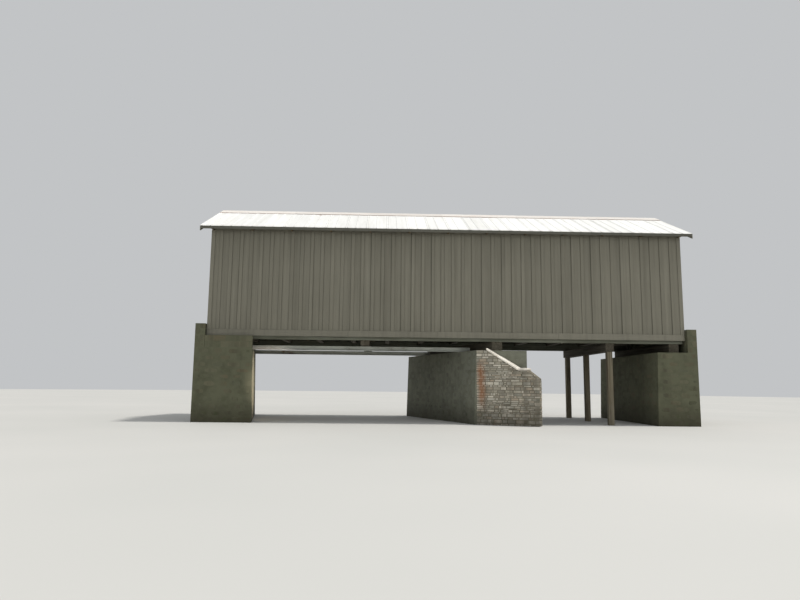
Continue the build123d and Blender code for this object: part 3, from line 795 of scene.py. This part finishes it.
def trims(name, node, thickness, length, finish):
    """Boards end to end, at the foot of both side walls or along both eaves."""
    rng, bm = started(name)
    low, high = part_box(node)
    count = ceil((high.x - low.x) / length)
    for side in (-1, 1):
        joints = [low.x + (high.x - low.x) * index / count for index in range(1, count)]
        joints = [joint + rng.uniform(-TRIM_STRAY, TRIM_STRAY) * length for joint in joints]
        edges = [low.x, *joints, high.x]
        for start, end in pairwise(edges):
            shift = 0 if start == low.x else TRIM_GAP / 2
            first = (start + shift, side * (high.y - thickness), low.z)
            board(bm, rng, first, (end - TRIM_GAP / 2, side * high.y, high.z), 3, TRIM_SWAY)
    piece(name, bm, rng, finish, [node], edge=TRIM_EDGE)


def end_wall(name, side):
    """Upright boards and battens on an end wall, round the portal and cut to the roof."""
    rng, bm = started(f"{name} end wall")
    wall_x = side * housing_end
    count = round(-2 * jamb_low.y / BOARD_MODULE)
    module = -2 * jamb_low.y / count
    seams = [jamb_low.y + index * module for index in range(count + 1)]
    inner, outer = side * (housing_end - BOARD_DEPTH), wall_x - side * BOARD_RECESS
    for start, end in pairwise(seams):
        end_board(bm, rng, inner, outer, start + BOARD_GAP / 2, end - BOARD_GAP / 2)
    for seam in seams[1:-1]:
        outer = wall_x + side * BATTEN_DEPTH
        end_board(bm, rng, wall_x, outer, seam - BATTEN_WIDTH / 2, seam + BATTEN_WIDTH / 2)
    for slope_side in (-1, 1):
        top = Vector((0, 0, gable_top - HAIR))
        cut_off(bm, top, Vector((0, slope_side * sin(pitch), cos(pitch))))
    piece(f"{name}_end_boards", bm, rng, siding_finish, [f"{name}_gable"], edge=BOARD_EDGE)


def end_board(bm, rng, inner, outer, start, end):
    """An end wall's board, from its foot beside the portal and from the portal's head over it."""
    edge = PORTAL_HALF if start + end > 0 else -PORTAL_HALF
    crosses = start + HAIR < edge < end - HAIR
    parts = [(start, edge), (edge, end)] if crosses else [(start, end)]
    for low, high in sorted(parts, key=lambda part: -abs(sum(part))):
        beside = abs(low + high) > 2 * PORTAL_HALF
        first = (inner, low, jamb_low.z if beside else jamb_high.z)
        board(bm, rng, first, (outer, high, gable_top), rungs=5, sway=PLANK_SWAY)


def portal_casings():
    """Flat boards round both portals."""
    rng, bm = started("casings")
    reach = PORTAL_HALF + CASING_WIDTH
    top = jamb_high.z
    for side in (-1, 1):
        inner = side * (housing_end + BATTEN_DEPTH)
        outer = side * (housing_end + BATTEN_DEPTH + TRIM_DEPTH)
        for edge in (-1, 1):
            first = (inner, edge * PORTAL_HALF, jamb_low.z)
            board(bm, rng, first, (outer, edge * reach, top), rungs=4)
        board(bm, rng, (inner, -reach, top + BLOCK_GAP), (outer, reach, top + CASING_WIDTH), rungs=4)
    piece("portal_casings", bm, rng, trim_finish, ["portal_jambs"], edge=TRIM_EDGE)


# Roof


def panel_profile():
    """Places across a panel and their heights: flats between V ribs, and a lap over the next panel."""
    profile = []
    for place in (*RIB_PLACES, panel_cover):
        profile += [(place - RIB_WIDTH / 2, 0), (place, RIB_HEIGHT), (place + RIB_WIDTH / 2, 0)]
    middle = [((first[0] + second[0]) / 2, 0) for first, second in zip(profile[5::3], profile[6::3])]
    return sorted(set(profile[1:-1] + middle))


def dented(side, x, lift, down, seed):
    """A point on a roof panel, a little in or out of its place."""
    dent = noise.noise(Vector((x * 1.3, down * 1.6, 0)) + seed) * PANEL_DENT
    return slope_point(side, x, down, max(LEAST_LIFT, lift + HAIR + dent))


def roof_panels(name, side):
    """Ribbed metal panels side by side from ridge to eave, each lapping the one before it."""
    rng, bm = started(f"{name} roof")
    for start in panel_starts:
        eave = slope_length - RIB_HEIGHT * sin(pitch) - rng.uniform(*EAVE_STRAY)
        seed = anywhere(rng)
        line = [(start + x, lift + PANEL_RAISE * x / panel_cover) for x, lift in panel_profile()]
        line = [point for point in line if point[0] <= sheet_high.x]
        downs = [PANEL_TOP + (eave - PANEL_TOP) * row / PANEL_ROWS for row in range(PANEL_ROWS + 1)]
        sheet(bm, line, downs, lambda point, down: dented(side, *point, down, seed))
    if side > 0:
        bmesh.ops.reverse_faces(bm, faces=bm.faces)
    thicken(bm)
    piece(f"{name}_roof_panels", bm, rng, roof_metal, [f"{name}_roof_sheet"], grain=False)


def roof_screws():
    """Screws through the ribs into every purlin, and through the ridge cap's lower edges."""
    rng, bm = started("screws")
    rib_lines = [start + place for start in panel_starts for place in RIB_PLACES]
    for side in (-1, 1):
        lean = Matrix.Rotation(-side * pitch, 4, "X")
        for x in rib_lines[1:-1]:
            for down in (*SCREW_ROWS, slope_length - EAVE_SCREW):
                lift = RIB_HEIGHT + (CAP_SCREW_LIFT if down < CAP_SCREW_ROW else HAIR)
                centre = slope_point(side, x, down + rng.uniform(-SCREW_STRAY, SCREW_STRAY), lift)
                head(bm, 6, SCREW_RADIUS, SCREW_RADIUS * SCREW_TAPER, SCREW_HEAD, centre, lean)
    piece("roof_screws", bm, rng, screw_metal, grain=False)


def wavy(x, point, index):
    """A point of a ridge cap's outline at a place along it, a little up or down."""
    shift = noise.noise(Vector((x * 0.9, point.y * 3, index * 7.3))) * CAP_WAVE
    return Vector((x, point.y, point.z + shift))


def ridge_caps():
    """Bent metal caps over the ridge, lapped end to end, with a hem along each lower edge."""
    rng, bm = started("ridge")
    reach = cap_high.y / cos(pitch) - CAP_EDGE
    count = round((cap_high.x - cap_low.x) / CAP_LENGTH)
    cover = (cap_high.x - cap_low.x) / count
    half = [(reach, -CAP_HEM), (reach, 0), (reach * 0.5, CAP_BELLY), (CAP_ROLL, 0)]
    for index in range(count):
        start = cap_low.x + index * cover
        end = min(start + cover + CAP_LAP, cap_high.x)
        raised = CAP_RAISE if index % 2 else 0
        near, far = [
            [slope_point(side, 0, down, SHEET_DEPTH + HAIR + lift + raised) for down, lift in half]
            for side in (-1, 1)
        ]
        crown = Vector((0, 0, cap_high.z - CAP_CROWN + raised))
        stations = [start + (end - start) * step / CAP_STEPS for step in range(CAP_STEPS + 1)]
        sheet(bm, stations, [*near, crown, *far[::-1]], lambda x, point: wavy(x, point, index))
    thicken(bm)
    piece("ridge_cap_lengths", bm, rng, cap_metal, ["ridge_cap"], grain=False)


# Floor


def deck_planks():
    """Planks along the bridge, with their butts over the floor beams and staggered."""
    rng, bm = started("deck")
    count = round((deck_high.y - deck_low.y) / PLANK_WIDTH)
    width = (deck_high.y - deck_low.y) / count
    for index in range(count):
        side = deck_low.y + index * width
        first = (index % 3 + 1) * PLANK_LENGTH / 3
        butts = [deck_low.x + first + step * PLANK_LENGTH for step in range(5)]
        edges = [deck_low.x, *[butt for butt in butts if butt < deck_high.x - LEAST_PLANK], deck_high.x]
        for start, end in pairwise(edges):
            low = (start + PLANK_END_GAP, side + PLANK_SIDE_GAP, deck_low.z)
            top = deck_high.z - rng.uniform(0, PLANK_WEAR)
            high = (end - PLANK_END_GAP, side + width - PLANK_SIDE_GAP, top)
            board(bm, rng, low, high, rungs=3, sway=PLANK_SWAY)
    piece("deck_planks", bm, rng, deck_finish, ["deck"], edge=PLANK_EDGE)


# Masonry


def corners_at(points, level):
    """Corners of a plan at one level, counter-clockwise."""
    level_points = [point for point in points if abs(point.z - level) < HAIR]
    found = sorted({(round(point.x, 4), round(point.y, 4)) for point in level_points})
    middle = Vector([sum(values) for values in zip(*found)]) / len(found)
    return sorted(map(Vector, found), key=lambda corner: atan2(*(corner - middle).yx))


def uneven_steps(rng, low, high, count, spread):
    """Parts a span into steps that are about even."""
    shares = [rng.uniform(1 - spread, 1 + spread) for _ in range(count)]
    places = [low]
    for share in shares:
        places.append(places[-1] + share / sum(shares) * (high - low))
    return places


def courses(rng, low, high, bond):
    """Levels of the courses that fill a wall."""
    return uneven_steps(rng, low, high, round((high - low) / bond.course), bond.course_spread)


def side_of(plan, index, depth, full_start, full_end):
    """A side's two outer ends, the arm from each to its inner end, and the arm straight in."""
    corners = [plan[(index + step) % len(plan)] for step in (-1, 0, 1, 2)]
    ways = [(end - start).normalized() for start, end in pairwise(corners)]
    (before, way, after), (start, end) = ways, corners[1:3]
    inward_before, inward, inward_after = [Vector((-each.y, each.x)) for each in ways]
    if not full_start:
        start = start + way * depth / way.dot(inward_before)
    if not full_end:
        end = end + way * depth / way.dot(inward_after)
    start_arm, end_arm = before * depth / before.dot(inward), after * depth / after.dot(inward)
    return start, end, start_arm, end_arm, inward * depth


def lay_stones(bm, rng, foot, top, levels, bond, bare=(), roof=None):
    """Lays stones in courses round a battered plan, with corner stones that turn it by turns. The
    bare sides meet something else, and roof gives the height of a sloping top at a point."""
    count = len(foot)
    for course, (low, high) in enumerate(pairwise(levels)):
        plans = []
        for level in (low, high):
            share = (level - levels[0]) / (levels[-1] - levels[0])
            plans.append([start.lerp(end, share) for start, end in zip(foot, top)])
        low_z = low if course == 0 else low + JOINT / 2
        high_z = high if course == len(levels) - 2 else high - JOINT / 2
        for index in range(count):
            if index in bare:
                continue
            first_full = course % 2 == 0 or (index - 1) % count in bare
            last_full = course % 2 == 1 or (index + 1) % count in bare
            sides = [side_of(plan, index, bond.depth, first_full, last_full) for plan in plans]
            run = (sides[0][1] - sides[0][0]).length
            places = uneven_steps(rng, 0, 1, max(1, round(run / bond.length)), bond.length_spread)
            for first, last in pairwise(places):
                at_start, at_end = first == 0, last > 0.999
                near = first if at_start and first_full else first + JOINT / 2 / run
                far = last if at_end and last_full else last - JOINT / 2 / run
                plan_pair = []
                for start, end, start_arm, end_arm, arm in sides:
                    a, b = start.lerp(end, near), start.lerp(end, far)
                    a_in, b_in = a + (start_arm if at_start else arm), b + (end_arm if at_end else arm)
                    plan_pair.append(kept_apart(a, b, b_in, a_in))
                add_stone(bm, rng, *plan_pair, low_z, high_z, bond, roof)


def add_stone(bm, rng, low_plan, high_plan, low_z, high_z, bond, roof):
    """One stone between two plans, cut down to a sloping top, or two thin ones."""
    in_two = rng.random() < bond.halved
    if roof:
        a, b, b_in, a_in = low_plan
        a, b = pulled_back(a, b, roof, low_z)
        a_in, b_in = pulled_back(a_in, b_in, roof, low_z)
        if a is None or a_in is None or (b - a).length < LEAST_STONE:
            return
        low_plan = high_plan = kept_apart(a, b, b_in, a_in)
    tops = [min(high_z, roof(point)) if roof else high_z for point in high_plan]
    slices = [(0, 1)]
    if in_two and max(tops) == high_z:
        middle, gap = rng.uniform(0.4, 0.6), JOINT / 2 / (high_z - low_z)
        slices = [(0, middle - gap), (middle + gap, 1)]
    for ends in slices:
        corners = []
        for share in ends:
            for low_point, high_point, top in zip(low_plan, high_plan, tops):
                corners.append(Vector((*low_point.lerp(high_point, share), low_z + (top - low_z) * share)))
        middle = sum(corners, Vector()) / len(corners)
        block(bm, [corner.lerp(middle, rng.uniform(0, bond.uneven)) for corner in corners])


def kept_apart(a, b, b_in, a_in):
    """A stone's plan, its inner corners drawn out where they would cross behind a short face."""
    closing = (b - a - b_in + a_in).dot((b - a).normalized())
    share = min(1, 0.8 * (b - a).length / closing) if closing > 0 else 1
    return a, b, b.lerp(b_in, share), a.lerp(a_in, share)


def pulled_back(first, last, roof, level):
    """A stone's two corners, drawn together to where a sloping top is a little over a level."""
    least = level + LEAST_TOP
    if max(roof(first), roof(last)) < least + LEAST_RISE:
        return None, None
    return drawn_in(last, first, roof, least), drawn_in(first, last, roof, least)


def drawn_in(kept, moved, roof, least):
    """A corner, drawn towards another where a sloping top isn't high enough over it."""
    share = 1
    while roof(kept.lerp(moved, share)) < least:
        share -= 0.02
    return kept.lerp(moved, share)


def finish_masonry(name, bm, rng, bond, node, face, joint, recess):
    """Rounds the stones and gives them an uneven skin. The mortar behind them is the node's own
    shape with its upright faces drawn back."""
    bmesh.ops.subdivide_edges(bm, edges=bm.edges[:], cuts=STONE_CUTS, use_grid_fill=True)
    bmesh.ops.smooth_vert(
        bm, verts=bm.verts[:], factor=bond.rounding, use_axis_x=True, use_axis_y=True, use_axis_z=True
    )
    bm.normal_update()
    for part in islands(bm):
        start = anywhere(rng)
        for vert in part:
            vert.co -= vert.normal * (1 + noise.noise(vert.co * 9 + start)) * bond.bumps
    piece(f"{name}_stones", bm, rng, face, grain=False)
    rng, core = started(f"{name}_mortar", node)
    core.normal_update()
    shifts = [(vert, vert.normal * recess * vert.calc_shell_factor()) for vert in core.verts]
    for vert, shift in shifts:
        vert.co.xy -= shift.xy
    piece(f"{name}_mortar", core, rng, joint, [node], grain=False)


def squared_wall(node, bond, face, joint, axis=None):
    """Squared stones under a thin cement wash round an abutment or a pier, or round a pair of low
    walls, one on each side of the middle along an axis."""
    rng, bm = started(node)
    points = points_of(node)
    low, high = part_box(node)
    walls = [points]
    if axis is not None:
        walls = [[point for point in points if point[axis] * side > 0] for side in (-1, 1)]
    for wall in walls:
        levels = courses(rng, low.z, high.z, bond)
        lay_stones(bm, rng, corners_at(wall, low.z), corners_at(wall, high.z), levels, bond)
    finish_masonry(node, bm, rng, bond, node, face, joint, WASHED_RECESS)


def wing_frame(name, side):
    """A wing wall's outer corner, its direction, the way in and the top profile along it."""
    points = points_of(f"{name}_wing_wall")
    foot = corners_at(points, 0)
    start = min(foot, key=lambda corner: corner.x)
    end = max(foot, key=lambda corner: side * corner.y)
    way = (end - start).normalized()
    inward = Vector((way.y, -way.x)) * side
    upper = [(point.xy - start, point.z) for point in points if point.z > 0.01]
    face = [(arm.dot(way), z) for arm, z in upper if abs(arm.dot(inward)) < HAIR]
    return start, way, inward, sorted({(round(distance, 4), round(z, 4)) for distance, z in face})


def height_on(profile, distance):
    """Height of a profile at a distance along it."""
    distance = min(max(distance, profile[0][0]), profile[-1][0])
    for (start, low), (end, high) in pairwise(profile):
        if distance <= end:
            return low + (high - low) * (distance - start) / (end - start)


def wing_wall(name, side):
    """Coursed rubble of thin, uneven stones with a sloping top."""
    rng, bm = started(f"{name} wing")
    node = f"{name}_wing_wall"
    start, way, _, profile = wing_frame(name, side)
    foot = corners_at(points_of(node), 0)
    masonry_side = min(abs(corner.y) for corner in foot)
    meets = [abs(abs(corner.y) - masonry_side) < 2 * HAIR for corner in foot]
    bare = [index for index in range(len(foot)) if meets[index] and meets[(index + 1) % len(foot)]]
    levels = courses(rng, 0, profile[0][1], RUBBLE)
    roof = lambda point: height_on(profile, (point - start).dot(way))
    lay_stones(bm, rng, foot, foot, levels, RUBBLE, bare, roof)
    finish_masonry(f"{name}_wing", bm, rng, RUBBLE, node, rubble_stone, rubble_mortar, RUBBLE_RECESS)


def coping_slabs():
    """Slabs laid down the slope of each wing wall, cut off at the side of the abutment."""
    rng, bm = started("copings")
    inner, outer = WING_DEPTH + SLAB_LIP, -SLAB_LIP
    for name, side in SIDES.items():
        start, way, inward, profile = wing_frame(name, side)
        low, bend, end = (distance for distance, _ in profile[1:4])
        places = [*[low + (bend - low) * share for share in SLAB_ENDS], end]
        for first, last in pairwise(places):
            first, last = first + SLAB_JOINT, last - SLAB_JOINT
            corners = []
            for lift in (0, SLAB_DEPTH):
                for distance, offset in ((first, outer), (last, outer), (last, inner), (first, inner)):
                    place = start + way * distance + inward * offset
                    level = height_on(profile, distance) + lift - (rng.uniform(0, SLAB_WEAR) if lift else 0)
                    corners.append(Vector((*place, level)))
            block(bm, corners)
    bmesh.ops.recalc_face_normals(bm, faces=bm.faces)
    for side in (-1, 1):
        own = [vert for vert in bm.verts if vert.co.y * side > 0]
        cut_off(bm, (0, side * abutment_side, 0), (0, -side, 0), everything_on(own))
    soften(bm, SLAB_EDGE, 3)
    piece("wing_coping_slabs", bm, rng, coping_stone_with_painted_sun, ["wing_copings"], grain=False)


# Bolts


def bolt(bm, centre, axis):
    """A round washer with a hexagon nut on it and the rounded end of the bolt."""
    turn = Vector((0, 0, 1)).rotation_difference(axis).to_matrix().to_4x4()
    for segments, wide, tall, lift in (
        (16, BOLT_RADIUS * 2.2, WASHER, WASHER / 2),
        (6, BOLT_RADIUS * 1.35, BOLT_RADIUS * 1.1, WASHER + BOLT_RADIUS * 0.55),
        (10, BOLT_RADIUS * 0.7, BOLT_RADIUS * 0.6, WASHER + BOLT_RADIUS * 1.4),
    ):
        head(bm, segments, wide, wide * BOLT_TAPER, tall, centre + axis * lift, turn)


def truss_bolts():
    """Bolts through the posts, at their feet and heads, seen from inside the bridge."""
    rng, bm = started("bolts")
    queen_x = queen_end - QUEEN_HALF
    end_x = post_high.x - END_POST_HALF
    for side in (-1, 1):
        face = side * abs(post_low.y + TRUSS_DEPTH)
        for x in (-end_x, -queen_x, queen_x, end_x):
            for level in bolt_levels:
                centre = Vector((x + rng.uniform(-BOLT_STRAY, BOLT_STRAY), face, level))
                bolt(bm, centre, Vector((0, -side, 0)))
    piece("truss_bolts", bm, rng, bolt_iron, grain=False, edge=HAIR)


# Build: first the nodes that keep their own shape, with their finish and edge wear
DRESSED = (
    ("sills", sill_finish, 0.006),
    ("bent_posts", timber_finish, 0.006),
    ("bent_cap needle_beam", sill_finish, 0.006),
    ("near_bottom_chord far_bottom_chord", chord_finish, 0.005),
    ("floor_beams", sill_finish, 0.004),
    ("wheel_guards", deck_finish, 0.008),
    ("end_posts queen_posts main_braces straining_beams", timber_finish, 0.005),
    ("jack_posts", timber_finish, 0.004),
    ("top_plates tie_beams", timber_finish, 0.005),
    ("knee_braces", timber_finish, 0.004),
    ("near_rafters far_rafters purlins girts", frame_finish, 0.003),
    ("rake_boards corner_boards", trim_finish, 0.003),
    ("near_girder far_girder", girder_finish, 0.0025),
)
for nodes, finish, edge in DRESSED:
    for node in nodes.split():
        rng, bm = started(node, node)
        piece(f"{node}_dressed", bm, rng, finish, [node], edge=edge)
for name, side in SIDES.items():
    seams = siding_wall(name, side)
    frieze_blocks(name, side)
    nails(name, side, seams)
    roof_panels(name, side)
    wing_wall(name, side)
trims("skirt_board_lengths", "skirt_boards", TRIM_DEPTH, SKIRT_LENGTH, trim_finish)
trims("fascia_lengths", "fascias", BOARD_DEPTH, FASCIA_LENGTH, fascia_shade_finish)
end_wall("left", -1)
end_wall("right", 1)
portal_casings()
roof_screws()
ridge_caps()
deck_planks()
squared_wall("left_abutment", SQUARED, shade_darkened_stone, shade_darkened_mortar)
squared_wall("right_abutment", SQUARED, washed_stone, washed_mortar)
squared_wall("end_pier", SQUARED, shade_darkened_stone, shade_darkened_mortar)
squared_wall("backwalls", BACKWALL, shade_darkened_stone, shade_darkened_mortar, axis=0)
squared_wall("seat_cheeks", CHEEK, shade_darkened_stone, shade_darkened_mortar, axis=1)
coping_slabs()
truss_bolts()


# Studio


def lamp(name, kind, place, aim, strength, colour, settings):
    """Adds a lamp that points at its aim."""
    data = bpy.data.lights.new(name, kind)
    data.energy = strength
    data.color = colour
    for key, value in settings.items():
        setattr(data, key, value)
    item = shown(name, data)
    item.location = place
    item.rotation_euler = (Vector(aim) - Vector(place)).to_track_quat("-Z", "Y").to_euler()


def studio():
    """A pale floor, an even sky, the lamps and the camera."""
    bm = bmesh.new()
    bmesh.ops.create_circle(bm, cap_ends=True, radius=FLOOR_RADIUS, segments=64)
    coat = Coat("studio_floor", None, specular=0.2)
    coat.colour = coat.mix(coat.clouds(0.15, detail=2).between(0.3, 0.7), *FLOOR_TONES)
    floor = shown_mesh("floor", bm, coat.close(0.9))
    world = bpy.data.worlds.new("studio")
    world.use_nodes = True
    for key, value in SKY.items():
        world.node_tree.nodes["Background"].inputs[key].default_value = value
    bpy.context.scene.world = world
    bpy.context.scene.view_settings.view_transform = "Standard"
    for values in LAMPS:
        lamp(*values)
    data = bpy.data.cameras.new("camera")
    data.lens = CAMERA_LENS
    data.sensor_width = 36
    camera = shown("camera", data)
    camera.matrix_world = Matrix.Translation(CAMERA_PLACE)
    for angle, axis in CAMERA_TURNS:
        camera.matrix_world = camera.matrix_world @ Matrix.Rotation(radians(angle), 4, axis)
    bpy.context.scene.camera = camera


studio()
